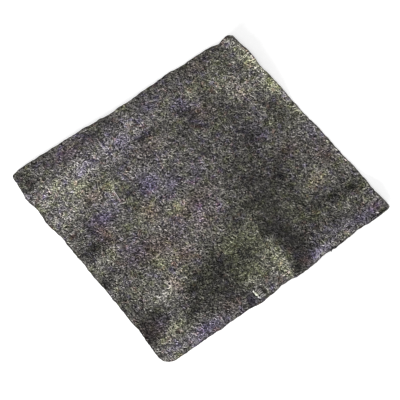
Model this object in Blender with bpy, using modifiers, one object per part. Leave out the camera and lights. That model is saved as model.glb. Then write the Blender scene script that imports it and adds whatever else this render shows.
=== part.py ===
"""One full sheet of roasted seaweed, lying loose on a flat surface.

The sheet is nearly square, as thin as paper and crisp. It dried and was roasted in low waves, so it
touches the surface only in its troughs, and its edges wander a little. The origin is on the surface,
under the middle of the sheet. X runs along the longer sides and Z is up.

The grid below is the sheet's underside. It is shaped by the functions of this file, split into
triangles, and given its thickness upward, so both faces are split alike.
"""

import math

import bmesh
import bpy
import numpy as np

MM = 0.001

# The flat sheet before its edges wander: half of each side, in millimetres.
HALF_LENGTH = 103.6
HALF_WIDTH = 95.9
THICKNESS = 0.3

# Grid cells along each side. A cell is about 4 mm, half of the narrowest wave.
CELLS_ALONG = 52
CELLS_ACROSS = 48

# How far each edge stands out from its straight line, in millimetres: where along the edge the swelling
# or dent is centred, how far it reaches, and its size outward.
EDGE_SWELLINGS = {
    "west": [(-83, 9, 1.3), (-60, 9, -1.0), (-32, 10, -0.4), (-13, 14, -0.4), (-5, 7, 0.7), (48, 9, 1.6),
             (73, 11, 2.2)],
    "east": [(-78, 10, -1.9), (-52, 7, 0.6), (-15, 10, 0.4), (35, 6, 0.2), (56, 12, -1.1), (87, 8, -1.4)],
    "south": [(-50, 30, 1.1), (-30, 8, -0.6), (-18, 8, 1.6), (-7, 6, 0.7), (16, 9, 2.3), (28, 6, 1.6),
              (50, 8, 0.8), (73, 6, -0.8)],
    "north": [(-86, 34, 1.6), (-13, 10, -1.7), (5, 9, -1.0), (43, 8, 1.4), (90, 4, -1.5)],
}

# How far each corner is rounded off along both of its sides, in millimetres, by the signs of its X and Y.
# The corner between the west and south sides is broken off nearly straight.
CORNER_CUTS = {(-1, -1): 3.6, (1, -1): 1.2, (-1, 1): 1.3, (1, 1): 3.2}
CORNER_SHARPNESS = 34

# The waves of the sheet, in millimetres and degrees: the middle of the crest, its bearing, half of its
# length, how far it falls away on its left and on its right, and its height. A trough is negative.
WAVES = {
    "middle_swell": (28, 0, 64, 74, 72, 25, 4.0),
    "south_west_hump": (-62, -68, 58, 36, 22, 30, 4.2),
    "west_rise": (-70, 56, 92, 40, 30, 60, 2.0),
    "north_west_ridge": (-58, 80, 6, 62, 11, 18, 2.6),
    "south_east_lip": (46, -106, 8, 26, 16, 12, 3.0),
    "east_trough": (90, -12, 64, 62, 34, 24, -2.4),
    "south_east_ridge": (86, -80, -4, 36, 12, 12, 2.2),
    "west_droop": (-120, 52, 88, 26, 26, 30, -2.4),
    "north_dip": (-3, 65, 8, 13, 4, 5, -1.0),
    "east_edge_lift": (112, 60, 92, 40, 14, 13, 4.4),
    "corner_flap": (100, 97, 82, 14, 4.5, 12, 3.0),
    "north_east_rise": (88, 56, 106, 20, 14, 12, 1.9),
    "west_ridge": (-92, 2, 8, 20, 10, 9, 1.6),
    "west_hollow": (-100, -62, 60, 10, 9, 9, -2.2),
    "north_trough": (46, 90, 14, 26, 14, 12, -0.9),
    "south_west_ridge": (-96, -78, 12, 20, 8, 10, 2.2),
    "short_crease": (-24, -96, 84, 10, 8, 2.8, -1.6),
    "middle_dip": (36, 62, 14, 30, 10, 14, -1.2),
    "east_rise": (86, -38, 60, 16, 9, 9, 1.4),
}

# The creases, given in the same way. Their crests are sharp: rounded over this many millimetres, and
# falling away this steeply.
CREASES = {
    "south_fold": (14, -70, 92, 34, 26, 17, 4.2),
    "south_valley": (-20, -66, 92, 24, 34, 26, -2.0),
    "long_fold": (16, 20, 90, 54, 9, 9, 0.5),
}
CREASE_ROUNDING = 1.5
CREASE_STEEPNESS = 1.5

# The sheet's mean height between its waves, and how gently its troughs settle on the surface.
STANDING_HEIGHT = 1.5
SETTLING = 0.5

# The faint unevenness that roasting leaves all over, as crossed low waves.
FAINT_WAVES = 24
FAINT_HEIGHT = 0.026
FAINT_LENGTHS = (12.0, 44.0)
FAINT_SEED = 11

# The rim bends down over its last few millimetres, and ripples a little along each side: the ripple's
# length, height and start. Both fade away from the rim.
RIM_BEND = 0.5
RIM_BEND_REACH = 5.0
RIM_RIPPLE_REACH = 6.0
RIM_RIPPLES = {
    "west": (29.0, 0.16, 0.4),
    "east": (33.0, 0.16, 2.1),
    "south": (24.0, 0.20, 1.3),
    "north": (37.0, 0.16, 4.0),
}

SHEET_COLOUR = (0.095, 0.092, 0.078, 1.0)
SHEET_ROUGHNESS = 0.45


def bell(distance, reach):
    """One at the middle, fading smoothly to nothing past the reach."""
    return np.exp(-((distance / reach) ** 2))


def edge_offset(side, along):
    """How far the named side stands out at a place along it."""
    return sum(size * bell(along - place, reach) for place, reach, size in EDGE_SWELLINGS[side])


def corner_cut(u, v):
    """How far the rounding of the nearest corner pulls a point inward."""
    cut = np.zeros_like(u)
    for (side_x, side_y), depth in CORNER_CUTS.items():
        here = (np.sign(u) == side_x) & (np.sign(v) == side_y)
        cut[here] = depth
    return cut * np.abs(u * v) ** CORNER_SHARPNESS


def plan(u, v):
    """Where a point of the square -1..1 by -1..1 lies in the sheet's outline, seen from above."""
    x, y = u * HALF_LENGTH, v * HALF_WIDTH
    out_x = np.where(u > 0, edge_offset("east", y), -edge_offset("west", y))
    out_y = np.where(v > 0, edge_offset("north", x), -edge_offset("south", x))
    cut = corner_cut(u, v)
    x_moved = x + out_x * np.abs(u) ** 3 - np.sign(u) * cut
    y_moved = y + out_y * np.abs(v) ** 3 - np.sign(v) * cut
    return x_moved, y_moved


def wave(x, y, centre_x, centre_y, bearing, half_length, left, right, height):
    """One crest, steeper on one side where its two widths differ."""
    angle = math.radians(bearing)
    along = (x - centre_x) * math.cos(angle) + (y - centre_y) * math.sin(angle)
    across = (y - centre_y) * math.cos(angle) - (x - centre_x) * math.sin(angle)
    return height * bell(across, np.where(across > 0, left, right)) * bell(along, half_length)


def crease(x, y, centre_x, centre_y, bearing, half_length, left, right, height):
    """A wave with a sharp crest."""
    angle = math.radians(bearing)
    along = (x - centre_x) * math.cos(angle) + (y - centre_y) * math.sin(angle)
    across = (y - centre_y) * math.cos(angle) - (x - centre_x) * math.sin(angle)
    away = np.sqrt(across ** 2 + CREASE_ROUNDING ** 2) - CREASE_ROUNDING
    fall = np.exp(-CREASE_STEEPNESS * away / np.where(across > 0, left, right))
    return height * fall * bell(along, half_length)


def faint_waves(x, y):
    """Low waves of many lengths and directions, from a fixed seed."""
    rng = np.random.default_rng(FAINT_SEED)
    total = np.zeros_like(x)
    for _ in range(FAINT_WAVES):
        angle, start = rng.uniform(0, 2 * math.pi, 2)
        turn = 2 * math.pi / rng.uniform(*FAINT_LENGTHS)
        total += np.sin((x * math.cos(angle) + y * math.sin(angle)) * turn + start)
    return FAINT_HEIGHT * total


def rim_shape(x, y, u, v):
    """The bend and the ripples of the rim."""
    inward_x, inward_y = (1 - np.abs(u)) * HALF_LENGTH, (1 - np.abs(v)) * HALF_WIDTH
    sides = {
        "west": (np.where(u < 0, inward_x, HALF_LENGTH), y),
        "east": (np.where(u > 0, inward_x, HALF_LENGTH), y),
        "south": (np.where(v < 0, inward_y, HALF_WIDTH), x),
        "north": (np.where(v > 0, inward_y, HALF_WIDTH), x),
    }
    total = -RIM_BEND * bell(np.minimum(inward_x, inward_y), RIM_BEND_REACH)
    for side, (inward, along) in sides.items():
        length, height, start = RIM_RIPPLES[side]
        drift = 0.6 * np.sin(2 * math.pi * along / (2.7 * length))
        ripple = np.sin(2 * math.pi * along / length + start + drift)
        total += height * ripple * bell(inward, RIM_RIPPLE_REACH)
    return total


def relief(x, y, u, v):
    """Height of the underside above the surface. Troughs settle flat on it."""
    height = STANDING_HEIGHT + faint_waves(x, y) + rim_shape(x, y, u, v)
    for one_wave in WAVES.values():
        height = height + wave(x, y, *one_wave)
    for one_crease in CREASES.values():
        height = height + crease(x, y, *one_crease)
    lifted = np.maximum(height, 0.0)
    return lifted * lifted / (lifted + SETTLING)


def clear_scene():
    for obj in list(bpy.data.objects):
        bpy.data.objects.remove(obj, do_unlink=True)


def sheet_material():
    material = bpy.data.materials.new("roasted_seaweed")
    material.use_nodes = True
    shader = material.node_tree.nodes["Principled BSDF"]
    shader.inputs["Base Color"].default_value = SHEET_COLOUR
    shader.inputs["Roughness"].default_value = SHEET_ROUGHNESS
    return material


def shape_underside(mesh):
    """Moves the flat grid's points to the outline and the relief, with the box's middle over the origin."""
    points = np.empty(len(mesh.vertices) * 3)
    mesh.vertices.foreach_get("co", points)
    u, v, _ = points.reshape(-1, 3).T
    u, v = np.clip(u, -1, 1), np.clip(v, -1, 1)
    x, y = plan(u, v)
    z = relief(x, y, u, v)
    x, y = x - (x.max() + x.min()) / 2, y - (y.max() + y.min()) / 2
    mesh.vertices.foreach_set("co", (np.stack([x, y, z], 1) * MM).ravel())
    mesh.update()


def make_underside():
    """A grid of triangles facing up."""
    grid = bmesh.new()
    bmesh.ops.create_grid(grid, x_segments=CELLS_ALONG, y_segments=CELLS_ACROSS, size=1.0)
    mesh = bpy.data.meshes.new("nori_sheet")
    grid.to_mesh(mesh)
    shape_underside(mesh)
    grid.clear()
    grid.from_mesh(mesh)
    bmesh.ops.triangulate(grid, faces=grid.faces, quad_method="SHORT_EDGE")
    grid.to_mesh(mesh)
    grid.free()
    return mesh


def make_sheet():
    sheet = bpy.data.objects.new("nori_sheet", make_underside())
    sheet.data.materials.append(sheet_material())
    body = sheet.modifiers.new("thickness", "SOLIDIFY")
    body.thickness = THICKNESS * MM
    body.offset = 1.0
    return sheet


def build():
    clear_scene()
    collection = bpy.data.collections.new("nori_sheet")
    bpy.context.scene.collection.children.link(collection)
    collection.objects.link(make_sheet())


build()
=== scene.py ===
"""The looks of one full sheet of roasted seaweed, lying loose on a pale surface.

The sheet is a felt of short shreds, pressed thin and dried. The felt itself is one closed leaf in the
form of the frame's sheet, grained by fine noise. Over it lie the shreds that show: curled, wavy and
straight ones and flat scraps, strewn all over but for the bare rim and a few smooth places, and some that
are laid one by one, at the torn flake, the pleats and the slits. The dark ones at the slits and beside the
torn lip are painted shade, the torn lip's white is partly a painted highlight, and the felt's tones are
partly painted light and shade. Lengths are in millimetres up to the meshes and the node trees, which are
in metres.
"""

import math

import bmesh
import bpy
import numpy as np
from mathutils import Matrix, Vector
from mathutils.bvhtree import BVHTree


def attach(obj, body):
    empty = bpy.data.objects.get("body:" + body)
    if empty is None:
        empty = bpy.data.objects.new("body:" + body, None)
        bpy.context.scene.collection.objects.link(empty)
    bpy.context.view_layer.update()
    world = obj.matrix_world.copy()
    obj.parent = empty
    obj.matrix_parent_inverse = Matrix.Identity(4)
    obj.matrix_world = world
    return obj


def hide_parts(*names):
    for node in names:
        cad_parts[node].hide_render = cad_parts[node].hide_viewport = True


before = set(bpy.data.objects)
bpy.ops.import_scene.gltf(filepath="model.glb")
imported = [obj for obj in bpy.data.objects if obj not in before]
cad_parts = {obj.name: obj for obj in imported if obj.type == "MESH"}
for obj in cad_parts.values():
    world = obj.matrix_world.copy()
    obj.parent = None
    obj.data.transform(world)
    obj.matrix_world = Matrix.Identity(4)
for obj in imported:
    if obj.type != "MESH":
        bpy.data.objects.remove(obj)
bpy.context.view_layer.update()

MM = 0.001
NODE = "nori_sheet"
WHITE = (1.0, 1.0, 1.0, 1.0)

# The sheet's plan, as in the frame: half of each side, its thickness, where along an edge it swells or
# dents, how far that reaches and how much, and how far each corner is cut, by the signs of its X and Y.
HALF_LENGTH = 103.6
HALF_WIDTH = 95.9
THICKNESS = 0.3
EDGE_SWELLINGS = {
    "west": [(-83, 9, 1.3), (-60, 9, -1.0), (-32, 10, -0.4), (-13, 14, -0.4), (-5, 7, 0.7), (48, 9, 1.6),
             (73, 11, 2.2)],
    "east": [(-78, 10, -1.9), (-52, 7, 0.6), (-15, 10, 0.4), (35, 6, 0.2), (56, 12, -1.1), (87, 8, -1.4)],
    "south": [(-50, 30, 1.1), (-30, 8, -0.6), (-18, 8, 1.6), (-7, 6, 0.7), (16, 9, 2.3), (28, 6, 1.6),
              (50, 8, 0.8), (73, 6, -0.8)],
    "north": [(-86, 34, 1.6), (-13, 10, -1.7), (5, 9, -1.0), (43, 8, 1.4), (90, 4, -1.5)],
}
CORNER_CUTS = {(-1, -1): 3.6, (1, -1): 1.2, (-1, 1): 1.3, (1, 1): 3.2}

# How fast the swellings of the edges and the cuts of the corners fade inward, as powers.
EDGE_FADING = 3
CORNER_SHARPNESS = 34

# The sheet's waves, as in the frame: middle of the crest, bearing, half length, fall to the left and to
# the right, and height.
WAVES = {
    "middle_swell": (28, 0, 64, 74, 72, 25, 4.0),
    "south_west_hump": (-62, -68, 58, 36, 22, 30, 4.2),
    "west_rise": (-70, 56, 92, 40, 30, 60, 2.0),
    "north_west_ridge": (-58, 80, 6, 62, 11, 18, 2.6),
    "south_east_lip": (46, -106, 8, 26, 16, 12, 3.0),
    "east_trough": (90, -12, 64, 62, 34, 24, -2.4),
    "south_east_ridge": (86, -80, -4, 36, 12, 12, 2.2),
    "west_droop": (-120, 52, 88, 26, 26, 30, -2.4),
    "north_dip": (-3, 65, 8, 13, 4, 5, -1.0),
    "east_edge_lift": (112, 60, 92, 40, 14, 13, 4.4),
    "corner_flap": (100, 97, 82, 14, 4.5, 12, 3.0),
    "north_east_rise": (88, 56, 106, 20, 14, 12, 1.9),
    "west_ridge": (-92, 2, 8, 20, 10, 9, 1.6),
    "west_hollow": (-100, -62, 60, 10, 9, 9, -2.2),
    "north_trough": (46, 90, 14, 26, 14, 12, -0.9),
    "south_west_ridge": (-96, -78, 12, 20, 8, 10, 2.2),
    "short_crease": (-24, -96, 84, 10, 8, 2.8, -1.6),
    "middle_dip": (36, 62, 14, 30, 10, 14, -1.2),
    "east_rise": (86, -38, 60, 16, 9, 9, 1.4),
}

# The creases, given in the same way. Their crests are sharp.
CREASES = {
    "south_fold": (14, -70, 92, 34, 26, 17, 4.2),
    "south_valley": (-20, -66, 92, 24, 34, 26, -2.0),
    "long_fold": (16, 20, 90, 54, 9, 9, 0.5),
}
CREASE_ROUNDING = 1.5
CREASE_STEEPNESS = 1.5

# The sheet's mean height, how gently its troughs settle, and its faint unevenness, as in the frame.
STANDING_HEIGHT = 1.5
SETTLING = 0.5
FAINT_WAVES = 24
FAINT_HEIGHT = 0.026
FAINT_LENGTHS = (12.0, 44.0)
FAINT_SEED = 11

# The rim's bend and ripples, as in the frame: each side's ripple length, height and start, how far the
# ripples drift and over how many of their lengths.
RIM_BEND = 0.5
RIM_BEND_REACH = 5.0
RIM_RIPPLE_REACH = 6.0
RIM_RIPPLES = {
    "west": (29.0, 0.16, 0.4),
    "east": (33.0, 0.16, 2.1),
    "south": (24.0, 0.20, 1.3),
    "north": (37.0, 0.16, 4.0),
}
RIPPLE_DRIFT = 0.6
RIPPLE_DRIFT_LENGTH = 2.7

# The fine grid of the felt, in cells along each side.
FELT_CELLS = (225, 208)

# Grain of the felt's two faces: its size across and its height, from coarse to fine.
TOP_GRAIN = [(7.0, 0.06), (3.2, 0.07), (1.7, 0.07)]
UNDER_GRAIN = [(5.0, 0.04), (2.2, 0.04)]
GRAIN_SEED = 3
RIM_RAGGEDNESS = [(4.2, 0.35), (1.9, 0.25)]

# The grain's lattice: its start and span as shares of the sheet's half sides, and its spare points.
GRAIN_START = 1.15
GRAIN_SPAN = 2.4
GRAIN_SPARE = 3

# Where the shreds lie denser, drier or of another kind, the sheet's colour changes, as the casts. The tone
# patches are partly that and partly painted light and shade: lighter and darker places that stand in for
# how the light falls on the sheet's waves, folds and rims. The lavender casts near the south rim are partly
# a painted sheen as well. Each patch is its middle, its half length and half width, its bearing and its
# strength.
CAST_PATCHES = {"lavender": [
    (-72, 26, 12, 7, 0, 1.0), (-27, 28, 9, 9, 0, 0.8), (-24, 69, 12, 7, 0, 0.6), (-57, 67, 9, 4, 10, 0.7),
    (33, 66, 5, 11, 0, 0.8), (-14, 16, 10, 5, 60, 0.6), (8, 14, 6, 6, 0, 0.5), (-71, -12, 6, 8, 0, 0.7),
    (-86, -68, 9, 5, 0, 0.7), (-64, -91, 16, 5, 0, 0.9), (-25, -92, 5, 4, 80, 0.8),
    (4, -93, 5, 3, 0, 0.35), (82, -89, 15, 5, 0, 0.7), (36, -92, 9, 5, 0, 0.8), (55, -88, 14, 5, 0, 0.4),
    (97, -10, 6, 9, 0, 0.5), (-54, 84, 20, 8, 0, 0.4), (12, 82, 8, 6, 0, 0.6), (-22, 86, 5, 5, 0, 0.3),
    (66, 16, 12, 12, 0, 0.4), (-32, -20, 7, 6, 0, 0.4), (-88, 52, 8, 6, 0, 0.3),
    (21, -66, 16, 6, 90, 0.3), (33, 28, 7, 10, 0, 0.3), (-14, -13, 12, 8, 0, 0.4),
    (-20, 40, 30, 40, 0, 0.12),
], "olive": [
    (8.5, -91, 4, 3, 90, 1.3), (-72, 57, 10, 5, 0, 0.6), (-54, 45, 12, 6, 320, 0.7),
    (-22, -1, 7, 6, 0, 1.0), (-10, -50, 14, 11, 20, 0.9), (9, -68, 10, 20, 10, 0.65),
    (-14, -72, 12, 10, 0, 0.7), (-49, -54, 11, 9, 0, 0.5), (-83, -3, 6, 5, 0, 0.6),
    (-77, -76, 14, 5, 10, 0.7), (70, 69, 10, 8, 0, 0.6), (98, 68, 8, 14, 0, 0.6), (98, 38, 7, 10, 0, 0.6),
    (96, 15, 6, 10, 0, 0.4), (80, 13, 9, 8, 20, 0.55), (57, -67, 7, 6, 0, 0.9), (72, -44, 8, 6, 0, 0.5),
    (52, 75, 11, 6, 0, 0.6), (36, 32, 8, 4, 60, 0.4), (-46, 12, 14, 6, 70, 0.4), (-58, -34, 6, 10, 0, 0.4),
    (96, -70, 7, 6, 0, 0.5), (46, -52, 10, 13, 0, 0.4), (-90, -38, 8, 7, 0, 0.4),
    (16, -40, 14, 14, 0, 0.3),
], "russet": [
    (62, 88, 10, 5, 0, 0.4), (93, -30, 6, 10, 0, 0.45), (-40, -86, 6, 6, 0, 0.4), (-40, 9, 6, 8, 0, 0.6),
    (-77, 16, 6, 14, 0, 0.6), (-57, -17, 20, 8, -10, 0.6), (-12, -5, 20, 7, 10, 0.45),
    (-66, 44, 7, 5, 0, 0.6), (42, 53, 9, 8, 0, 0.45), (74, -11, 9, 6, 0, 0.5), (-8, 52, 12, 6, 10, 0.35),
    (-42, -35, 7, 6, 0, 0.7), (-61, -50, 4, 9, 0, 0.5), (25, -91, 4, 3.5, 0, 1.0), (93, -88, 4, 3, 0, 0.7),
    (-95, -67, 7, 8, 0, 0.9), (-58, 86, 14, 6, 0, 0.45), (76, 48, 4, 8, 0, 0.35), (74, -44, 7, 6, 0, 0.4),
    (-12, -21, 10, 8, 0, 0.4),
]}
# The tone patches: partly the felt's own tone, partly painted light and shade.
TONE_AND_PAINTED_LIGHT_PATCHES = [
    (-30, 66, 70, 24, 0, 0.1), (92, 30, 16, 50, 0, 0.1), (5, 80, 30, 14, 0, 0.12),
    (-7, -59, 13, 11, 0, -0.26), (5, -35, 12, 8, 50, -0.28), (-72, -14, 15, 6, 5, -0.22),
    (-87, 65, 13, 7, 0, 0.37), (-86, 46, 13, 8, 10, 0.38), (-62, 64, 15, 9, 25, 0.42),
    (-50, 43, 12, 7, 30, 0.3), (-31, 71, 24, 8, 3, 0.38), (-53, 92, 4, 6, 90, 0.36),
    (-34, 82, 5, 5, 90, -0.24), (-15, 83, 4, 6, 90, -0.32), (-8, 80, 14, 5, 86, 0.3),
    (-70, 57, 6, 6, 0, 0.26), (-68, -51, 14, 7, 15, 0.47), (-55, -33, 16, 6, 70, 0.29),
    (-34, -30, 18, 6, 72, 0.24), (-86, -79, 17, 5, 14, 0.32), (-80, -91, 22, 5, 0, 0.25),
    (11, -78, 15, 6, 75, 0.28), (9, -88, 4, 5, 0, 0.24), (36.5, -93, 8, 3.5, 8, 0.8),
    (16.5, -94, 7, 4.5, 96, -0.38), (-20, 18, 4, 6, 0, 0.24), (-94, -54, 7, 6, 0, -0.12),
    (-55, -9, 5, 5, 0, -0.26), (88, -91, 5, 4, 0, -0.28), (56, 93, 6, 5, 0, -0.26),
    (-23, -92, 7, 5, 80, -0.48), (-17, -80, 6, 3, 0, 0.26), (20, -41, 6, 4, 0, 0.24),
    (60, -91, 12, 5, 0, 0.34), (64, -78, 9, 5, 0, -0.24), (50, -71, 6, 5, 0, -0.24),
    (52, -80, 7, 4, 30, 0.22), (77, 53, 15, 8, 80, 0.48), (67, 68, 10, 7, 20, 0.32),
    (82, 75, 5, 8, 0, -0.16), (100, 68, 12, 6, 90, 0.92), (98, 42, 13, 7, 90, 0.6),
    (99, -46, 5, 8, 0, 0.36), (99, -77, 5, 12, 0, 0.34), (70, 22, 10, 7, 10, 0.22),
    (77, -42, 9, 5, 20, 0.4), (80, -73, 11, 4, -5, 0.26), (94, -66, 8, 4, 0, -0.28),
    (-3, 45, 13, 5, 75, 0.25), (-44, 5, 13, 7, 50, 0.34), (-84, -3, 9, 6, 0, 0.36),
    (-98, -69, 11, 8, 60, -0.46), (-100, -18, 5, 4, 90, -0.5), (-87, -60, 10, 6, 10, -0.42),
    (-99, -44, 14, 5, 90, -0.2), (-42, -66, 24, 12, 10, -0.26), (-57, -60, 5, 5, 0, -0.3),
    (-24, -50, 12, 5, 55, -0.26), (-43, -54, 6, 5, 0, -0.2), (33, 1, 9, 5, 20, -0.15),
    (-22, 0, 7, 6, 0, 0.36), (-12, -14, 8, 5, 0, 0.24), (-27, 37, 16, 9, -50, 0.18),
    (-6, -8, 6, 4, 0, -0.2), (-66, -76, 10, 4, 20, -0.36), (-35, -79, 8, 6, 0, -0.24),
    (29, -78, 23, 10, 90, -0.32), (14, -58, 7, 4, 20, -0.34), (31, -34, 13, 8, 40, -0.3),
    (54, -25, 8, 6, 40, -0.36), (67, -12, 7, 4, 25, -0.3), (32, -14, 15, 7, 10, -0.25),
    (57, 13, 12, 6, 60, -0.29), (61, 0, 7, 5, 30, 0.22), (52, -54, 11, 4, 85, -0.24),
    (78, -63, 18, 5, -6, -0.34), (32, 50, 18, 8, 20, -0.09), (42, 57, 4, 6, 0, 0.26),
    (53, 61, 4, 6, 0, -0.28), (32, 60, 5, 12, 0, -0.22), (27, 74, 5, 7, 0, 0.3), (45, 74, 6, 6, 0, 0.24),
    (-93, 9, 11, 5, 0, -0.36), (-83, 24, 9, 4, 85, -0.28), (-65, 31, 7, 12, 0, 0.2),
    (-44, 30, 6, 5, 0, -0.26), (-1, 63, 9, 3, 5, -0.48), (-37, 52, 16, 4, 5, -0.24),
    (-99, 82, 10, 7, 80, -0.42), (89, 21, 14, 6, 81, -0.37), (82, 62, 6, 4, 0, -0.24),
    (102.8, 10, 90, 2.8, 90, 0.52), (99.5, -90, 7, 6, 0, 0.75), (-10, 94, 15, 4, 0, 0.24),
]

# Where the felt is bare of shreds: a band along the rim, of this width, and a few smooth places, given
# like the patches. How much paler bare felt is, which along the rim band is partly painted light standing
# in for the light that catches the rim, how bare a place has to be for no shred to lie there, and
# how level a face of the felt has to lie to carry shreds, as the upright share of its normal.
RIM_BAND = 1.1
BARE_PLACES = [
    (99.2, -90, 7, 6, 0, 1.3), (-25.5, -92, 5, 3, 80, 1.2), (2, -93.5, 4, 2, 0, 1.0),
    (100, 93, 4, 2.5, 40, 1.0), (-14, -91, 4, 5, 0, 0.9),
]
# Partly painted light along the rim band.
BARE_PALENESS_AND_PAINTED_RIM_LIGHT = 0.35
BARE_ENOUGH = 0.6
LEVEL_ENOUGH = 0.5

# Edges of the felt that turn by more than this many degrees stay sharp.
SHARP_EDGE = 50

# The rim's raggedness fades this far inward, and the strips narrow this much towards their ends.
RIM_RAGGED_REACH = 1.2
END_TAPER = 0.8

# How uneven the scraps' outline is, how many lobes it has, how far these are turned, in radians, and how
# much smaller its upper side is.
SCRAP_UNEVENNESS = 0.28
SCRAP_LOBES = 3
SCRAP_TURN = 1.0
SCRAP_TAPER = 0.9

# How high above the bed a shred starts its fall, in metres, how much of one shows past the rim, how flat
# it lies there, and how far apart the shreds' own warps can lie in their noise.
DROP = 0.05
RIM_FRINGE = 0.12
RIM_FLATTENING = 0.5
WARP_SPREAD = 97.0

# Each random draw for the strewn shreds has its own step from the seed.
SHADE_DRAW, LEAN_DRAW, ROLL_DRAW, SPIN_DRAW, SIZE_DRAW = range(1, 6)

# What each cast does to a colour, how strong the casts are in the dark and how much less so on pale
# shreds, how far they drift about, and how strong the tones are, with the painted light and shade they
# carry.
LAVENDER = (0.93, 0.82, 1.62)
OLIVE = (1.03, 1.16, 0.61)
RUSSET = (1.36, 0.88, 0.87)
CAST_IN_DARK = 1.25
CAST_FADING = 0.8
CAST_DRIFT = 0.9
TONE_STRENGTH = 2.02

# The size in metres and the detail of the drifting casts, and between which levels of their noise each one
# grows.
DRIFT_SIZE = 0.0065
DRIFT_DETAIL = 4.0
WARM_DRIFT_SIZE = 0.006
WARM_DRIFT_DETAIL = 3.0
LAVENDER_DRIFT = (0.56, 0.74)
OLIVE_DRIFT = (0.46, 0.28)
RUSSET_DRIFT = (0.58, 0.74)

# The lighter and darker blotches all over, and how dark tones and blotches can make the sheet.
BLOTCH_SIZE = 0.0055
BLOTCH_DETAIL = 3.0
BLOTCH_STRENGTH = 1.2
DARKEST = 0.2

# The felt's looks: the sizes of its two nets of strands in metres, how wide and winding the strands are,
# how strongly they show, and the flecks in the same way. Then how rough its dark places are, how much
# smoother its pale ones, how glossy it is, and its bump's strength and depth in metres.
NET_SIZES = (0.0024, 0.0031)
STRAND_WIDTH = 0.05
STRAND_DETAIL = 1.0
STRAND_WINDING = 0.8
NET_STRENGTH = 0.8
FLECK_SIZE = 0.0008
FLECK_WINDING = 0.4
FLECK_MIDDLE = 0.45
FLECK_STRENGTH = 0.9
FELT_ROUGHNESS = 0.75
FELT_SMOOTHING = 0.25
FELT_GLOSS = 0.15
FELT_BUMP = (0.8, 0.00015)

# The looks of the shreds: the size of their streaks in metres, how much these change shade and roughness,
# how glossy the shreds are, and their bump's strength and depth in metres.
STREAK_SIZE = 0.0004
STREAK_SHADE = 0.24
STREAK_ROUGHNESS = 0.2
SHRED_GLOSS = 0.35
SHRED_BUMP = (0.5, 0.00006)

# The colours of felt and shreds, from the darkest to the palest.
FELT_COLOURS = [(0.0, (0.006, 0.005, 0.005)), (0.45, (0.034, 0.032, 0.029)), (1.0, (0.15, 0.143, 0.126))]
SHRED_COLOURS = {
    "mixed": [(0.0, (0.007, 0.006, 0.006)), (0.3, (0.046, 0.044, 0.04)), (0.6, (0.145, 0.139, 0.125)),
              (0.86, (0.26, 0.248, 0.227)), (1.0, (0.39, 0.374, 0.352))],
    "dark": [(0.0, (0.005, 0.005, 0.005)), (0.6, (0.022, 0.02, 0.019)), (1.0, (0.085, 0.08, 0.074))],
    "pale": [(0.0, (0.06, 0.058, 0.052)), (0.6, (0.205, 0.196, 0.178)), (1.0, (0.44, 0.424, 0.393))],
    # The laid ramp's near-white top serves the torn lip, partly a painted highlight.
    "laid": [(0.0, (0.004, 0.004, 0.005)), (0.2, (0.018, 0.018, 0.022)), (0.7, (0.21, 0.205, 0.2)),
             (0.9, (0.42, 0.41, 0.4)), (1.0, (0.86, 0.85, 0.83))],
}

# The area that the shreds are strewn over, in square metres.
SHEET_AREA = 4 * HALF_LENGTH * HALF_WIDTH * MM * MM

# Each kind of shred: a strip's length, width, height, bend and number of segments, or a scrap's length,
# width, height and number of corners. Then how many lie on the top (1) or the underside (-1), their
# smallest and largest sizes as shares of the shape, their tilt in degrees, and how far and finely they are
# warped in millimetres.
KINDS = {
    "curled_shreds": {
        "strip": (2.1, 0.52, 0.32, 0.45, 3), "count": 9800, "side": 1.0, "seed": 21,
        "colours": "mixed", "roughness": 0.5, "smallest": (0.6, 0.6, 0.5), "largest": (1.35, 1.3, 1.5),
        "tilt": 3.0, "warp": 1.2, "warp_size": 1.6},
    "wavy_shreds": {
        "strip": (2.0, 0.56, 0.32, 0.1, 2), "count": 14000, "side": 1.0, "seed": 34,
        "colours": "mixed", "roughness": 0.5, "smallest": (0.6, 0.6, 0.5), "largest": (1.4, 1.3, 1.5),
        "tilt": 4.0, "warp": 1.8, "warp_size": 1.5},
    "fine_shreds": {
        "strip": (2.8, 0.38, 0.28, 0.3, 2), "count": 14000, "side": 1.0, "seed": 55,
        "colours": "pale", "roughness": 0.45, "smallest": (0.5, 0.6, 0.6), "largest": (1.3, 1.2, 1.6),
        "tilt": 2.5, "warp": 1.8, "warp_size": 1.8},
    "short_shreds": {
        "strip": (1.3, 0.64, 0.34, 0.1, 2), "count": 14000, "side": 1.0, "seed": 67,
        "colours": "mixed", "roughness": 0.5, "smallest": (0.6, 0.6, 0.5), "largest": (1.3, 1.3, 1.4),
        "tilt": 6.0, "warp": 1.0, "warp_size": 1.4},
    "flat_scraps": {
        "scrap": (2.0, 1.2, 0.14, 6), "count": 4400, "side": 1.0, "seed": 89,
        "colours": "dark", "roughness": 0.4, "smallest": (0.5, 0.6, 0.7), "largest": (1.3, 1.4, 1.3),
        "tilt": 4.0, "warp": 1.4, "warp_size": 2.0},
    "under_shreds": {
        "strip": (3.0, 0.6, 0.14, 0.4, 2), "count": 8000, "side": -1.0, "seed": 144,
        "colours": "dark", "roughness": 0.4, "smallest": (0.6, 0.6, 0.5), "largest": (1.3, 1.4, 1.0),
        "tilt": 2.0, "warp": 1.6, "warp_size": 2.0},
}

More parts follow.
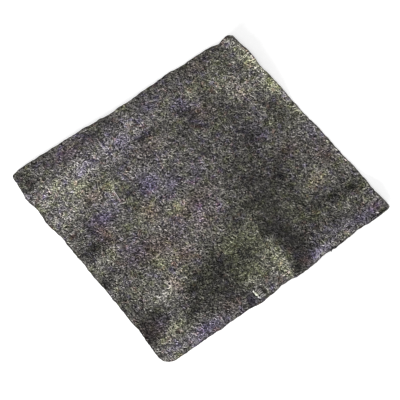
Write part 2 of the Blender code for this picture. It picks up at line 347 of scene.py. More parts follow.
# Shreds that show one by one, in rows: where the row starts and ends, how many lie along it, how far they
# stray from it, their bearing, length, width and height, and how pale they are.
LAID_ROWS = {
    # The torn lip's white is partly a painted highlight along the torn edge.
    "torn_lip": ((-19.6, -87.6), (-18.8, -94.4), 6, 0.55, 62, 2.0, 1.5, 0.8, 1.0),
    "flake_shreds": ((-17.0, -86.6), (-16.4, -95.0), 6, 0.45, 6, 4.4, 0.85, 0.75, 0.9),
    # A dark row that is a painted shadow beside the torn lip.
    "painted_lip_shadow": ((-21.4, -88.0), (-20.4, -96.4), 3, 0.1, 100, 3.6, 1.0, 0.35, 0.0),
    "pale_streaks": ((29.5, -94.4), (39.5, -92.6), 10, 1.3, 32, 6.0, 0.6, 0.6, 0.84),
    "west_pleat": ((-99.0, -7.2), (-85.0, -2.0), 10, 1.0, 24, 2.6, 0.6, 0.6, 0.9),
    "inner_pleat": ((-84.0, 1.5), (-76.0, 3.0), 6, 1.3, 24, 2.6, 0.6, 0.6, 0.92),
    "pale_knot": ((8.8, -91.6), (10.2, -91.8), 3, 0.4, 60, 2.0, 0.8, 0.65, 0.94),
    "long_fibre": ((-51.6, 34.7), (-51.6, 34.7), 1, 0.0, 263, 16.0, 0.8, 0.65, 0.88),
    "curled_fibre": ((-53.0, 27.0), (-53.0, 27.0), 1, 0.0, 352, 7.5, 0.7, 0.65, 0.84),
    # Dark rows that are painted shade: the shade in a slit by the south rim and in a crease near the south
    # east corner.
    "painted_rim_slit_shade": ((45.2, -95.7), (49.6, -95.8), 2, 0.0, 0, 4.8, 1.2, 0.5, 0.0),
    "painted_corner_crease_shade": ((85.0, -94.0), (98.5, -94.7), 6, 0.1, 357, 4.0, 1.0, 0.55, 0.02),
}

# The laid shreds' segments, how far they bow as a share of their length, how many radians their bow spans
# each way, how deep they are sunk into the felt, their random turn in degrees, their range of sizes, how
# much of its paleness the dullest one keeps, and how rough they are.
LAID_SEGMENTS = 8
LAID_BOW = 0.1
LAID_WINDING = 2.4
LAID_SUNK = 0.05
LAID_TURN = 9.0
LAID_SIZES = (0.8, 1.2)
LAID_FADING = 0.86
LAID_ROUGHNESS = 0.5
LAID_SEED = 8

# How much of the tone and the casts around them the laid shreds take on, and how glossy they are.
LAID_SHARE = 0.4
LAID_GLOSS = 0.12

# The floor, a hair under the sheet so that the two faces never fight, the size of its grain in metres, its
# colours and finish, and how strongly it is lit from below, as on a light table.
FLOOR_REACH = 9000.0
FLOOR_GAP = 0.05
FLOOR_GRAIN = 0.002
FLOOR_COLOURS = [(0.3, (0.95, 0.95, 0.95)), (0.7, (0.98, 0.98, 0.98))]
FLOOR_ROUGHNESS = 0.8
FLOOR_GLOSS = 0.2
FLOOR_GLOW = 0.28

# The camera as fitted to the sheet's four edges in the photograph: where it looks from, how far off, at
# what point, its lens and sensor, and the nearest and farthest that it sees in metres.
CAMERA_BEARING = 232.4
CAMERA_HEIGHT = 62.1
CAMERA_DISTANCE = 1335.0
CAMERA_AIM = (-3.5, -4.1)
CAMERA_LENS = 162.9
SENSOR = 36.0
SIGHT = (0.01, 20.0)

# Soft studio light: each lamp's name, bearing, height, distance, width and height of its face in metres,
# and power in watts. The key is low, so that the sheet's shallow waves show.
LIGHTS = [
    ("key", 207.0, 10.0, 1.5, 1.2, 0.3, 62.5),
    ("top", 200.0, 62.0, 1.8, 0.9, 0.9, 4.0),
]
WORLD_STRENGTH = 0.6


def bell(distance, reach):
    """One at the middle, fading smoothly to nothing past the reach."""
    return np.exp(-((distance / reach) ** 2))


def edge_offset(side, along):
    """How far the named side stands out at a place along it."""
    return sum(size * bell(along - place, reach) for place, reach, size in EDGE_SWELLINGS[side])


def corner_cut(u, v):
    """How far the rounding of the nearest corner pulls a point inward."""
    cut = np.zeros_like(u)
    for (side_x, side_y), depth in CORNER_CUTS.items():
        here = (np.sign(u) == side_x) & (np.sign(v) == side_y)
        cut[here] = depth
    return cut * np.abs(u * v) ** CORNER_SHARPNESS


def plan(u, v):
    """Where a point of the square -1..1 by -1..1 lies in the sheet's outline, seen from above."""
    x, y = u * HALF_LENGTH, v * HALF_WIDTH
    out_x = np.where(u > 0, edge_offset("east", y), -edge_offset("west", y))
    out_y = np.where(v > 0, edge_offset("north", x), -edge_offset("south", x))
    cut = corner_cut(u, v)
    x_moved = x + out_x * np.abs(u) ** EDGE_FADING - np.sign(u) * cut
    y_moved = y + out_y * np.abs(v) ** EDGE_FADING - np.sign(v) * cut
    return x_moved, y_moved


def turned(x, y, middle_x, middle_y, bearing):
    """How far points lie along a bearing from a middle, and how far to the left of it."""
    angle = math.radians(bearing)
    along = (x - middle_x) * math.cos(angle) + (y - middle_y) * math.sin(angle)
    across = (y - middle_y) * math.cos(angle) - (x - middle_x) * math.sin(angle)
    return along, across


def wave(x, y, middle_x, middle_y, bearing, half_length, left, right, height):
    """One crest, steeper on one side where its two widths differ."""
    along, across = turned(x, y, middle_x, middle_y, bearing)
    return height * bell(across, np.where(across > 0, left, right)) * bell(along, half_length)


def crease(x, y, middle_x, middle_y, bearing, half_length, left, right, height):
    """A wave with a sharp crest."""
    along, across = turned(x, y, middle_x, middle_y, bearing)
    away = np.sqrt(across ** 2 + CREASE_ROUNDING ** 2) - CREASE_ROUNDING
    fall = np.exp(-CREASE_STEEPNESS * away / np.where(across > 0, left, right))
    return height * fall * bell(along, half_length)


def faint_waves(x, y):
    """Low waves of many lengths and directions, from a fixed seed."""
    rng = np.random.default_rng(FAINT_SEED)
    total = np.zeros_like(x)
    for _ in range(FAINT_WAVES):
        angle, start = rng.uniform(0, 2 * math.pi, 2)
        turn = 2 * math.pi / rng.uniform(*FAINT_LENGTHS)
        total += np.sin((x * math.cos(angle) + y * math.sin(angle)) * turn + start)
    return FAINT_HEIGHT * total


def from_rim(u, v):
    """How far a point of the square lies inward of the nearest short and the nearest long side."""
    return (1 - np.abs(u)) * HALF_LENGTH, (1 - np.abs(v)) * HALF_WIDTH


def rim_shape(x, y, u, v):
    """The bend and the ripples of the rim."""
    inward_x, inward_y = from_rim(u, v)
    sides = {
        "west": (np.where(u < 0, inward_x, HALF_LENGTH), y),
        "east": (np.where(u > 0, inward_x, HALF_LENGTH), y),
        "south": (np.where(v < 0, inward_y, HALF_WIDTH), x),
        "north": (np.where(v > 0, inward_y, HALF_WIDTH), x),
    }
    total = -RIM_BEND * bell(np.minimum(inward_x, inward_y), RIM_BEND_REACH)
    for side, (inward, along) in sides.items():
        length, height, start = RIM_RIPPLES[side]
        drift = RIPPLE_DRIFT * np.sin(2 * math.pi * along / (RIPPLE_DRIFT_LENGTH * length))
        ripple = np.sin(2 * math.pi * along / length + start + drift)
        total += height * ripple * bell(inward, RIM_RIPPLE_REACH)
    return total


def relief(x, y, u, v):
    """Height of the underside above the surface. Troughs settle flat on it."""
    height = STANDING_HEIGHT + faint_waves(x, y) + rim_shape(x, y, u, v)
    for one_wave in WAVES.values():
        height = height + wave(x, y, *one_wave)
    for one_crease in CREASES.values():
        height = height + crease(x, y, *one_crease)
    lifted = np.maximum(height, 0.0)
    return lifted * lifted / (lifted + SETTLING)


def grain(x, y, layers, seed):
    """Smooth random height made of layers, each with its own size across and height."""
    rng = np.random.default_rng(seed)
    total = np.zeros_like(x)
    for size, height in layers:
        columns = int(GRAIN_SPAN * HALF_LENGTH / size) + GRAIN_SPARE
        rows = int(GRAIN_SPAN * HALF_WIDTH / size) + GRAIN_SPARE
        lattice = rng.uniform(-1, 1, (rows, columns))
        column = (x + GRAIN_START * HALF_LENGTH) / size
        row = (y + GRAIN_START * HALF_WIDTH) / size
        i, j = np.floor(column).astype(int), np.floor(row).astype(int)
        s, t = column - i, row - j
        s, t = s * s * (3 - 2 * s), t * t * (3 - 2 * t)
        low = lattice[j, i] * (1 - s) + lattice[j, i + 1] * s
        high = lattice[j + 1, i] * (1 - s) + lattice[j + 1, i + 1] * s
        total += height * (low * (1 - t) + high * t)
    return total


def patches(x, y, places):
    """Soft-edged ovals laid over each other."""
    total = np.zeros_like(x)
    for middle_x, middle_y, half_length, half_width, bearing, strength in places:
        along, across = turned(x, y, middle_x, middle_y, bearing)
        total += strength * bell(along, half_length) * bell(across, half_width)
    return total


def new_object(name, data):
    """A mesh, light or camera put into the scene."""
    placed = bpy.data.objects.new(name, data)
    bpy.context.scene.collection.objects.link(placed)
    return placed


def finished(name, shape):
    """The mesh of a shape that is all drawn."""
    mesh = bpy.data.meshes.new(name)
    shape.to_mesh(mesh)
    shape.free()
    return mesh


def points_of(mesh):
    flat = np.empty(len(mesh.vertices) * 3)
    mesh.vertices.foreach_get("co", flat)
    return flat.reshape(-1, 3)


def place_points(mesh, x, y, z):
    mesh.vertices.foreach_set("co", np.stack([x, y, z], 1).ravel())
    mesh.update()


def store(mesh, name, values):
    """A number for each point, for the materials to read."""
    attribute = mesh.attributes.new(name, "FLOAT", "POINT")
    attribute.data.foreach_set("value", np.asarray(values, np.float32))


def store_tones(mesh, x, y, bare, share=1.0):
    """What the felt is like at each point: how bare, how light, with painted light and shade, and how far
    towards each cast.
    """
    store(mesh, "bare", bare)
    store(mesh, "tone", share * patches(x, y, TONE_AND_PAINTED_LIGHT_PATCHES) + BARE_PALENESS_AND_PAINTED_RIM_LIGHT * np.minimum(bare, 1.0))
    for name, places in CAST_PATCHES.items():
        store(mesh, name, share * patches(x, y, places))


def flat_grid(name, cells):
    """A flat square grid from -1 to 1, facing up, with its points' two coordinates."""
    grid = bmesh.new()
    bmesh.ops.create_grid(grid, x_segments=cells[0], y_segments=cells[1], size=1.0)
    mesh = finished(name, grid)
    u, v, _ = points_of(mesh).T
    return mesh, np.clip(u, -1, 1), np.clip(v, -1, 1)


def ragged(x, y, u, v):
    """The outline's own small raggedness, which fades within a millimetre or so of the rim."""
    jag = grain(x, y, RIM_RAGGEDNESS, GRAIN_SEED + 2)
    near_x, near_y = (bell(inward, RIM_RAGGED_REACH) for inward in from_rim(u, v))
    return x + np.sign(u) * jag * near_x, y + np.sign(v) * jag * near_y


def underside(u, v):
    """The points of the sheet's underside, and the middle of their box."""
    x, y = plan(u, v)
    z = relief(x, y, u, v)
    middle_x, middle_y = (x.max() + x.min()) / 2, (y.max() + y.min()) / 2
    x, y = ragged(x, y, u, v)
    return x, y, z, middle_x, middle_y


def apply_modifiers(piece):
    """The piece with its modifiers worked into its mesh."""
    graph = bpy.context.evaluated_depsgraph_get()
    mesh = bpy.data.meshes.new_from_object(piece.evaluated_get(graph))
    piece.modifiers.clear()
    piece.data = mesh
    return piece


def roughen(mesh, x, y, leaf_points):
    """Grains both faces of the leaf. Its first points are the top's, the next the underside's."""
    points = points_of(mesh) / MM
    top, under = points[:leaf_points], points[leaf_points:2 * leaf_points]
    top[:, 2] += np.maximum(grain(x, y, TOP_GRAIN, GRAIN_SEED), -THICKNESS / 2)
    lowered = under[:, 2] + grain(x, y, UNDER_GRAIN, GRAIN_SEED + 1)
    under[:, 2] = np.maximum(lowered, 0.0)
    place_points(mesh, *(points * MM).T)


def make_felt():
    """The closed leaf of felt, and where its box's middle was before it was brought over the origin."""
    mesh, u, v = flat_grid("felt", FELT_CELLS)
    x, y, z, middle_x, middle_y = underside(u, v)
    place_points(mesh, (x - middle_x) * MM, (y - middle_y) * MM, z * MM)
    inward = np.minimum(*from_rim(u, v))
    store_tones(mesh, x, y, bell(inward, RIM_BAND) + patches(x, y, BARE_PLACES))
    felt = new_object("felt", mesh)
    body = felt.modifiers.new("thickness", "SOLIDIFY")
    body.thickness = THICKNESS * MM
    body.offset = 1.0
    leaf_points = len(mesh.vertices)
    apply_modifiers(felt)
    roughen(felt.data, x, y, leaf_points)
    felt.data.shade_smooth()
    felt.data.set_sharp_from_angle(angle=math.radians(SHARP_EDGE))
    return felt, (middle_x, middle_y)


def face_of(felt, upward):
    """A copy of one face of the felt without its bare places, for the shreds to lie on."""
    face = bmesh.new()
    face.from_mesh(felt.data)
    face.normal_update()
    bare = face.verts.layers.float["bare"]
    side = 1 if upward else -1
    away = [f for f in face.faces
            if f.normal.z * side < LEVEL_ENOUGH or max(vert[bare] for vert in f.verts) > BARE_ENOUGH]
    bmesh.ops.delete(face, geom=away, context="FACES")
    return new_object("bed_above" if upward else "bed_below", finished("bed", face))


def close_rings(shape, rings):
    """The sides and ends of a closed form that is given as rings with as many points each."""
    for one, other in zip(rings, rings[1:]):
        for i in range(len(one)):
            j = (i + 1) % len(one)
            shape.faces.new((one[i], one[j], other[j], other[i]))
    shape.faces.new(reversed(rings[0]))
    shape.faces.new(rings[-1])


def strip_mesh(name, length, width, height, bend, segments):
    """A closed strip with a three-sided section, pointed at its ends and bent along an arc."""
    strip = bmesh.new()
    rings = []
    for i in range(segments + 1):
        t = 2 * i / segments - 1
        half = width / 2 * (1 - END_TAPER * t * t)
        middle = Vector((t * length / 2, bend * (1 - t * t), 0))
        rings.append([
            strip.verts.new(middle + Vector((0, -half, 0))),
            strip.verts.new(middle + Vector((0, half, 0))),
            strip.verts.new(middle + Vector((0, 0, height * (1 - END_TAPER * t * t)))),
        ])
    close_rings(strip, rings)
    return new_object(name, closed_mesh(name, strip))


def scrap_mesh(name, length, width, height, corners):
    """A closed flat scrap with a many-cornered uneven outline."""
    scrap = bmesh.new()
    lower, upper = [], []
    for i in range(corners):
        angle = 2 * math.pi * i / corners
        reach = 1 + SCRAP_UNEVENNESS * math.sin(SCRAP_LOBES * angle + SCRAP_TURN)
        corner = Vector((math.cos(angle) * length / 2, math.sin(angle) * width / 2, 0)) * reach
        lower.append(scrap.verts.new(corner))
        upper.append(scrap.verts.new(corner * SCRAP_TAPER + Vector((0, 0, height))))
    close_rings(scrap, [lower, upper])
    return new_object(name, closed_mesh(name, scrap))


def closed_mesh(name, shape):
    """The mesh of closed shapes drawn in millimetres: turned outward, in metres and in triangles."""
    bmesh.ops.recalc_face_normals(shape, faces=shape.faces)
    bmesh.ops.scale(shape, vec=(MM, MM, MM), verts=shape.verts)
    bmesh.ops.triangulate(shape, faces=shape.faces)
    return finished(name, shape)


def shape_of(name, kind):
    """The one shape that is strewn for a kind of shred."""
    if "scrap" in kind:
        return scrap_mesh(name, *kind["scrap"])
    return strip_mesh(name, *kind["strip"])


class Wire:
    """An output in a node tree. Arithmetic on it adds Math nodes."""

    def __init__(self, maker, socket):
        self.maker = maker
        self.socket = socket

    def math(self, operation, *values):
        return self.maker.get("ShaderNodeMath", {"operation": operation}, dict(enumerate(values)))

    def __add__(self, other):
        return self.math("ADD", self, other)

    def __sub__(self, other):
        return self.math("SUBTRACT", self, other)

    def __rsub__(self, other):
        return self.math("SUBTRACT", other, self)

    def __mul__(self, other):
        return self.math("MULTIPLY", self, other)

    def __rtruediv__(self, other):
        return self.math("DIVIDE", other, self)

    def __abs__(self):
        return self.math("ABSOLUTE", self)

    def at_least(self, other):
        return self.math("MAXIMUM", self, other)

    def at_most(self, other):
        return self.math("MINIMUM", self, other)

    __radd__ = __add__
    __rmul__ = __mul__


class Maker:
    """Adds nodes to one tree: their settings first, then the values or links of their sockets."""

    def __init__(self, tree):
        self.tree = tree

    def add(self, kind, settings=None, inputs=None):
        node = self.tree.nodes.new(kind)
        for key, value in (settings or {}).items():
            setattr(node, key, value)
        for key, value in (inputs or {}).items():
            self.feed(node.inputs[key], value)
        return node

    def feed(self, socket, value):
        """Links a socket to a Wire, or sets it to a plain value."""
        if isinstance(value, Wire):
            self.tree.links.new(value.socket, socket)
        else:
            socket.default_value = value

    def out(self, node, name=0):
        return Wire(self, node.outputs[name])

    def get(self, kind, settings=None, inputs=None, name=0):
        """One output of a new node."""
        return self.out(self.add(kind, settings, inputs), name)

    def number(self, name):
        """A number that the mesh stores at its points."""
        return self.get("ShaderNodeAttribute", {"attribute_name": name}, name="Fac")

    def noise(self, place, size, detail=2.0, distortion=0.0):
        """Noise of about the given size across in metres, between 0 and 1."""
        inputs = {"Vector": place, "Scale": 1 / size, "Detail": detail, "Distortion": distortion}
        return self.get("ShaderNodeTexNoise", None, inputs, "Fac")

    def ramp(self, value, stops):
        """A colour for each value, by stops that are a place and a colour each."""
        node = self.add("ShaderNodeValToRGB", None, {"Fac": value})
        elements = node.color_ramp.elements
        while len(elements) < len(stops):
            elements.new(1.0)
        for element, (place, colour) in zip(elements, stops):
            element.position = place
            element.color = (*colour, 1.0)
        return self.out(node, "Color")

    def spread(self, value, low, high):
        """The value brought to 0 at low and 1 at high, and held there."""
        inputs = {"Value": value, "From Min": low, "From Max": high}
        return self.get("ShaderNodeMapRange", {"clamp": True}, inputs, "Result")

    def tint(self, factor, colour, hue):
        """A colour multiplied by a hue. The node takes these at its seventh and eighth sockets."""
        settings = {"data_type": "RGBA", "blend_type": "MULTIPLY"}
        return self.get("ShaderNodeMix", settings, {0: factor, 6: colour, 7: (*hue, 1.0)}, 2)

    def dim(self, colour, amount):
        """A colour made lighter or darker by a number."""
        return self.get("ShaderNodeVectorMath", {"operation": "SCALE"}, {0: colour, "Scale": amount})

    def bump(self, height, strength, depth):
        """The normal of a surface that rises and falls with the height, by a depth in metres."""
        inputs = {"Strength": strength, "Distance": depth, "Height": height}
        return self.get("ShaderNodeBump", None, inputs, "Normal")


def new_material(name):
    """A material with its maker and shader, and the place that its noises are read at."""
    material = bpy.data.materials.new(name)
    material.use_nodes = True
    maker = Maker(material.node_tree)
    place = maker.get("ShaderNodeTexCoord", name="Object")
    return material, maker, material.node_tree.nodes["Principled BSDF"], place


def cast(maker, colour, place, light):
    """The colour turned towards lavender, olive or russet where the felt has that cast, most where dark."""
    drift = maker.noise(place, DRIFT_SIZE, DRIFT_DETAIL)
    warm_drift = maker.noise(place, WARM_DRIFT_SIZE, WARM_DRIFT_DETAIL)
    lavender = maker.number("lavender") + maker.spread(drift, *LAVENDER_DRIFT) * CAST_DRIFT
    olive = maker.number("olive") + maker.spread(drift, *OLIVE_DRIFT) * CAST_DRIFT
    russet = maker.number("russet") + maker.spread(warm_drift, *RUSSET_DRIFT) * CAST_DRIFT
    strength = CAST_IN_DARK - CAST_FADING * light
    for amount, hue in ((lavender, LAVENDER), (olive, OLIVE), (russet, RUSSET)):
        colour = maker.tint(amount.at_most(1.0) * strength, colour, hue)
    return colour


def lightness(maker, place):
    """How light the felt is at a place, around 1, by its tones, partly painted light and shade, and random
    blotches.
    """
    blotch = maker.noise(place, BLOTCH_SIZE, BLOTCH_DETAIL) - 0.5
    return (maker.number("tone") * TONE_STRENGTH + blotch * BLOTCH_STRENGTH + 1.0).at_least(DARKEST)


def strands(maker, place, size):
    """Thin winding lines, one along each middle level of a noise, from 0 between them to 1."""
    noise = maker.noise(place, size, STRAND_DETAIL, STRAND_WINDING)
    return maker.spread(abs(noise - 0.5), STRAND_WIDTH, 0.0)


def felt_material():
    """Dark pressed felt: a net of strands too fine to lay one by one, with pits between them."""
    material, maker, shader, place = new_material("felt")
    coarse, fine = (strands(maker, place, size) for size in NET_SIZES)
    net = coarse.at_least(fine)
    fleck = maker.noise(place, FLECK_SIZE, distortion=FLECK_WINDING)
    light = (net * NET_STRENGTH + (fleck - FLECK_MIDDLE) * FLECK_STRENGTH).at_least(0.0).at_most(1.0)
    colour = maker.ramp(light, FELT_COLOURS)
    colour = maker.dim(cast(maker, colour, place, light), lightness(maker, place))
    maker.feed(shader.inputs["Base Color"], colour)
    maker.feed(shader.inputs["Roughness"], FELT_ROUGHNESS - FELT_SMOOTHING * light)
    maker.feed(shader.inputs["Normal"], maker.bump(light, *FELT_BUMP))
    shader.inputs["Specular IOR Level"].default_value = FELT_GLOSS
    return material


def shred_material(name, colours, roughness, gloss=SHRED_GLOSS):
    """Shreds of many shades, each with fine streaks."""
    material, maker, shader, place = new_material(name)
    streak = maker.noise(place, STREAK_SIZE)
    shade = (maker.number("shade") + STREAK_SHADE * (streak - 0.5)).at_least(0.0).at_most(1.0)
    colour = cast(maker, maker.ramp(shade, colours), place, shade)
    colour = maker.dim(colour, lightness(maker, place))
    maker.feed(shader.inputs["Base Color"], colour)
    maker.feed(shader.inputs["Roughness"], roughness + STREAK_ROUGHNESS * (streak - 0.5))
    maker.feed(shader.inputs["Normal"], maker.bump(streak, *SHRED_BUMP))
    shader.inputs["Specular IOR Level"].default_value = gloss
    return material


# What the strewing is given, with the kind of each.
STREW_INPUTS = {
    "Bed": "Geometry",
    "Shape": "Object",
    "Density": "Float",
    "Seed": "Int",
    "Smallest": "Vector",
    "Largest": "Vector",
    "Tilt": "Float",
    "Warp": "Float",
    "Warp Size": "Float",
    "Side": "Float",
    "Finish": "Material",
}


def strew_tree():
    """Strews a shape over a bed, turns and warps each copy its own way, and drapes it on the bed."""
    tree = bpy.data.node_groups.new("strew", "GeometryNodeTree")
    for name, kind in STREW_INPUTS.items():
        tree.interface.new_socket(name=name, in_out="INPUT", socket_type="NodeSocket" + kind)
    tree.interface.new_socket(name="Strewn", in_out="OUTPUT", socket_type="NodeSocketGeometry")
    maker = Maker(tree)
    given = maker.add("NodeGroupInput")
    asked = {name: maker.out(given, name) for name in STREW_INPUTS}
    copies = lay_copies(maker, asked)
    draped = drape(maker, asked, warp(maker, asked, copies))
    solid = maker.get("GeometryNodeRealizeInstances", None, {"Geometry": draped})
    dressed = maker.get("GeometryNodeSetMaterial", None, {"Geometry": solid, "Material": asked["Finish"]})
    maker.feed(maker.add("NodeGroupOutput").inputs[0], dressed)
    return tree


def random_number(maker, asked, low, high, draw, kind="FLOAT"):
    """A number or vector of its own for each point, from the tree's seed and the draw's own step."""
    node = maker.add("FunctionNodeRandomValue", {"data_type": kind})
    limits = [s for s in node.inputs if s.enabled]
    for socket, value in zip(limits, (low, high)):
        maker.feed(socket, value)
    maker.feed(node.inputs["Seed"], asked["Seed"] + draw)
    return Wire(maker, next(s for s in node.outputs if s.enabled))


def keep(maker, points, name, value):
    """Stores a number with each point, for later nodes and the materials to read."""
    return maker.get("GeometryNodeStoreNamedAttribute", {"data_type": "FLOAT", "domain": "POINT"},
                     {"Geometry": points, "Name": name, "Value": value})


def read(maker, name):
    """The number that is stored with each point."""
    return maker.get("GeometryNodeInputNamedAttribute", {"data_type": "FLOAT"}, {"Name": name})


def join(maker, x, y, z):
    """A vector from three numbers."""
    return maker.get("ShaderNodeCombineXYZ", None, {"X": x, "Y": y, "Z": z})


def split(maker, vector):
    """A vector's three numbers."""
    parts = maker.add("ShaderNodeSeparateXYZ", None, {"Vector": vector})
    return [maker.out(parts, axis) for axis in "XYZ"]


def lay_copies(maker, asked):
    """The copies where they fall, at their own sizes and turns, with the height of the bed under each."""
    fallen = maker.get("GeometryNodeDistributePointsOnFaces", {"distribute_method": "RANDOM"},
                       {"Mesh": asked["Bed"], "Density": asked["Density"], "Seed": asked["Seed"]})
    height = split(maker, maker.get("GeometryNodeInputPosition"))[2]
    fallen = keep(maker, fallen, "ground", height)
    shade = random_number(maker, asked, 0.0, 1.0, SHADE_DRAW)
    fallen = keep(maker, fallen, "shade", shade)
    lean = random_number(maker, asked, -1.0, 1.0, LEAN_DRAW) * asked["Tilt"]
    roll = random_number(maker, asked, -1.0, 1.0, ROLL_DRAW) * asked["Tilt"]
    spin = random_number(maker, asked, 0.0, 2 * math.pi, SPIN_DRAW)
    turn = join(maker, roll, lean, spin)
    size = random_number(maker, asked, asked["Smallest"], asked["Largest"], SIZE_DRAW, "FLOAT_VECTOR")
    shape = maker.get("GeometryNodeObjectInfo", None, {"Object": asked["Shape"]}, "Geometry")
    laid = maker.get("GeometryNodeInstanceOnPoints", None,
                     {"Points": fallen, "Instance": shape, "Rotation": turn, "Scale": size})
    return maker.get("GeometryNodeRealizeInstances", None, {"Geometry": laid})


def warp(maker, asked, copies):
    """Each copy bent in the plane by a noise of its own."""
    place = maker.get("GeometryNodeInputPosition")
    own = read(maker, "shade") * WARP_SPREAD
    noise = maker.get("ShaderNodeTexNoise", {"noise_dimensions": "4D"},
                      {"Vector": place, "W": own, "Scale": 1 / asked["Warp Size"], "Detail": 0.0}, "Color")
    x, y, _ = split(maker, noise)
    push = join(maker, (x - 0.5) * asked["Warp"], (y - 0.5) * asked["Warp"], 0.0)
    return maker.get("GeometryNodeSetPosition", None, {"Geometry": copies, "Offset": push})


def drape(maker, asked, copies):
    """The copies brought down onto the bed. What would stick out past the rim is drawn in to it."""
    side = asked["Side"]
    x, y, z = split(maker, maker.get("GeometryNodeInputPosition"))
    own = z - read(maker, "ground")
    above = join(maker, x, y, side * DROP)
    down = join(maker, 0.0, 0.0, side * -1.0)
    ray = maker.add("GeometryNodeRaycast", None, {
        "Target Geometry": asked["Bed"], "Source Position": above, "Ray Direction": down,
        "Ray Length": 2 * DROP})
    level = join(maker, x, y, read(maker, "ground"))
    nearest = maker.get("GeometryNodeProximity", {"target_element": "FACES"},
                        {0: asked["Bed"], "Source Position": level}, "Position")
    rim_x, rim_y, rim_z = split(maker, nearest)
    hit = maker.out(ray, "Is Hit")
    hit_z = split(maker, maker.out(ray, "Hit Position"))[2]
    bed_x = either(maker, hit, rim_x + (x - rim_x) * RIM_FRINGE, x)
    bed_y = either(maker, hit, rim_y + (y - rim_y) * RIM_FRINGE, y)
    bed_z = either(maker, hit, rim_z + own * RIM_FLATTENING, hit_z + own)
    place = join(maker, bed_x, bed_y, bed_z.at_least(0.0))
    return maker.get("GeometryNodeSetPosition", None, {"Geometry": copies, "Position": place})


def either(maker, condition, otherwise, then):
    """One of two numbers, by whether the condition is false or true."""
    return maker.get("GeometryNodeSwitch", {"input_type": "FLOAT"},
                     {"Switch": condition, "False": otherwise, "True": then})


def strew(name, tree, bed, given):
    """One piece: every copy of one shape that lies on one face of the felt."""
    piece = new_object(name, bed.data.copy())
    modifier = piece.modifiers.new("strewn", "NODES")
    modifier.node_group = tree
    for item in tree.interface.items_tree:
        if item.name in given:
            modifier[item.identifier] = given[item.name]
    return apply_modifiers(piece)


def strewn_shreds(felt):
    """The shreds on both faces of the felt."""
    tree = strew_tree()
    above, below = face_of(felt, True), face_of(felt, False)
    pieces = []
    for name, kind in KINDS.items():
        shape = shape_of(name + "_shape", kind)
        upward = kind["side"] > 0
        if not upward:
            shape.data.transform(Matrix.Rotation(math.pi, 4, "X"))
        given = {
            "Shape": shape,
            "Density": kind["count"] / SHEET_AREA,
            "Seed": kind["seed"],
            "Smallest": kind["smallest"],
            "Largest": kind["largest"],
            "Tilt": math.radians(kind["tilt"]),
            "Warp": kind["warp"] * MM,
            "Warp Size": kind["warp_size"] * MM,
            "Side": kind["side"],
            "Finish": shred_material(name, SHRED_COLOURS[kind["colours"]], kind["roughness"]),
        }
        pieces.append(strew(name, tree, above if upward else below, given))
        bpy.data.objects.remove(shape)
    for bed in (above, below):
        bpy.data.objects.remove(bed)
    return pieces


def lay_one(shreds, bed, place, bearing, length, width, height, bow):
    """One shred along a bowed line, brought onto the bed. Its section has three sides."""
    along = Vector((math.cos(bearing), math.sin(bearing), 0))
    across = Vector((-along.y, along.x, 0))
    rings = []
    for i in range(LAID_SEGMENTS + 1):
        t = 2 * i / LAID_SEGMENTS - 1
        thinning = 1 - END_TAPER * t * t
        middle = place + along * (t * length / 2) + across * (bow * math.sin(LAID_WINDING * t + bow))
        ring = []
        for sideways, rise in ((-0.5, -LAID_SUNK), (0.5, -LAID_SUNK), (0.0, height * thinning)):
            point = middle + across * (sideways * width * thinning)
            hit = bed.ray_cast(Vector((point.x * MM, point.y * MM, DROP)), Vector((0, 0, -1)))[0]
            ground = hit.z / MM if hit else 0.0
            ring.append(shreds.verts.new((point.x, point.y, max(ground + rise, 0.0))))
        rings.append(ring)
    close_rings(shreds, rings)


def laid_shreds(felt, middle):
    """The shreds that show one by one, as one piece. One that lies alone keeps its bearing."""
    rng = np.random.default_rng(LAID_SEED)
    bed = BVHTree.FromObject(felt, bpy.context.evaluated_depsgraph_get())
    shreds = bmesh.new()
    shades = []
    for start, end, count, stray, bearing, length, width, height, pale in LAID_ROWS.values():
        for i in range(count):
            t = (i + 0.5) / count
            x, y = (a + (b - a) * t + rng.uniform(-stray, stray) - m for a, b, m in zip(start, end, middle))
            turn = math.radians(bearing + rng.uniform(-LAID_TURN, LAID_TURN) * (count > 1))
            size = rng.uniform(*LAID_SIZES)
            bow = length * LAID_BOW * rng.uniform(-1, 1)
            known = len(shreds.verts)
            lay_one(shreds, bed, Vector((x, y, 0)), turn, length * size, width, height, bow)
            shades += [pale * rng.uniform(LAID_FADING, 1.0)] * (len(shreds.verts) - known)
    mesh = closed_mesh("laid_shreds", shreds)
    x, y, _ = points_of(mesh).T / MM
    store(mesh, "shade", shades)
    store_tones(mesh, x + middle[0], y + middle[1], np.zeros_like(x), LAID_SHARE)
    finish = shred_material("laid_shreds", SHRED_COLOURS["laid"], LAID_ROUGHNESS, LAID_GLOSS)
    mesh.materials.append(finish)
    return new_object("laid_shreds", mesh)


def floor_material():
    """Smooth pale board with a barely seen grain."""
    material, maker, shader, place = new_material("pale_board")
    colour = maker.ramp(maker.noise(place, FLOOR_GRAIN), FLOOR_COLOURS)
    maker.feed(shader.inputs["Base Color"], colour)
    shader.inputs["Roughness"].default_value = FLOOR_ROUGHNESS
    shader.inputs["Specular IOR Level"].default_value = FLOOR_GLOSS
    shader.inputs["Emission Color"].default_value = WHITE
    shader.inputs["Emission Strength"].default_value = FLOOR_GLOW
    return material


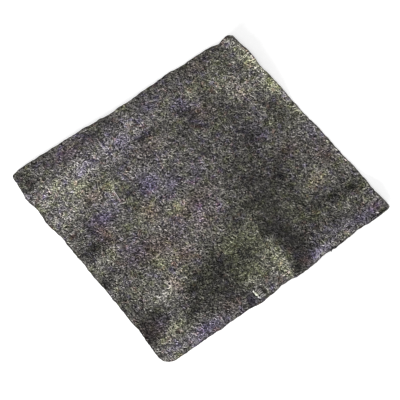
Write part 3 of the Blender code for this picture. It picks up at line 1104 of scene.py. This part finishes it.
def make_floor():
    board = bmesh.new()
    bmesh.ops.create_grid(board, x_segments=1, y_segments=1, size=FLOOR_REACH * MM)
    bmesh.ops.translate(board, verts=board.verts, vec=(0, 0, -FLOOR_GAP * MM))
    floor = new_object("floor", finished("floor", board))
    floor.data.materials.append(floor_material())


def from_angles(bearing, height):
    """The direction at a bearing from +X towards +Y, and a height above the floor, in degrees."""
    a, e = math.radians(bearing), math.radians(height)
    return Vector((math.cos(a) * math.cos(e), math.sin(a) * math.cos(e), math.sin(e)))


def make_light(name, bearing, height, distance, width, depth, power):
    data = bpy.data.lights.new(name, "AREA")
    data.shape = "RECTANGLE"
    data.size = width
    data.size_y = depth
    data.energy = power
    light = new_object(name, data)
    away = from_angles(bearing, height)
    light.location = away * distance
    light.rotation_euler = away.to_track_quat("Z", "Y").to_euler()


def make_world():
    world = bpy.data.worlds.new("studio")
    bpy.context.scene.world = world
    world.use_nodes = True
    background = world.node_tree.nodes["Background"]
    background.inputs["Color"].default_value = WHITE
    background.inputs["Strength"].default_value = WORLD_STRENGTH


def make_camera():
    """The photograph's view: from above and one corner, far off with a long lens."""
    data = bpy.data.cameras.new("camera")
    data.lens = CAMERA_LENS
    data.sensor_width = SENSOR
    camera = new_object("camera", data)
    back = from_angles(CAMERA_BEARING, CAMERA_HEIGHT)
    right = Vector((-back.y, back.x, 0)).normalized()
    up = back.cross(right)
    turn = Matrix((right, up, back)).transposed()
    aim = Vector((*CAMERA_AIM, 0)) * MM
    camera.matrix_world = Matrix.Translation(aim + back * CAMERA_DISTANCE * MM) @ turn.to_4x4()
    data.clip_start, data.clip_end = SIGHT
    bpy.context.scene.camera = camera


def build():
    bpy.context.scene.view_settings.view_transform = "Standard"
    make_camera()
    make_world()
    for light in LIGHTS:
        make_light(*light)
    make_floor()
    felt, middle = make_felt()
    felt.data.materials.append(felt_material())
    for piece in [felt, laid_shreds(felt, middle), *strewn_shreds(felt)]:
        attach(piece, "root")
        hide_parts(NODE)


build()
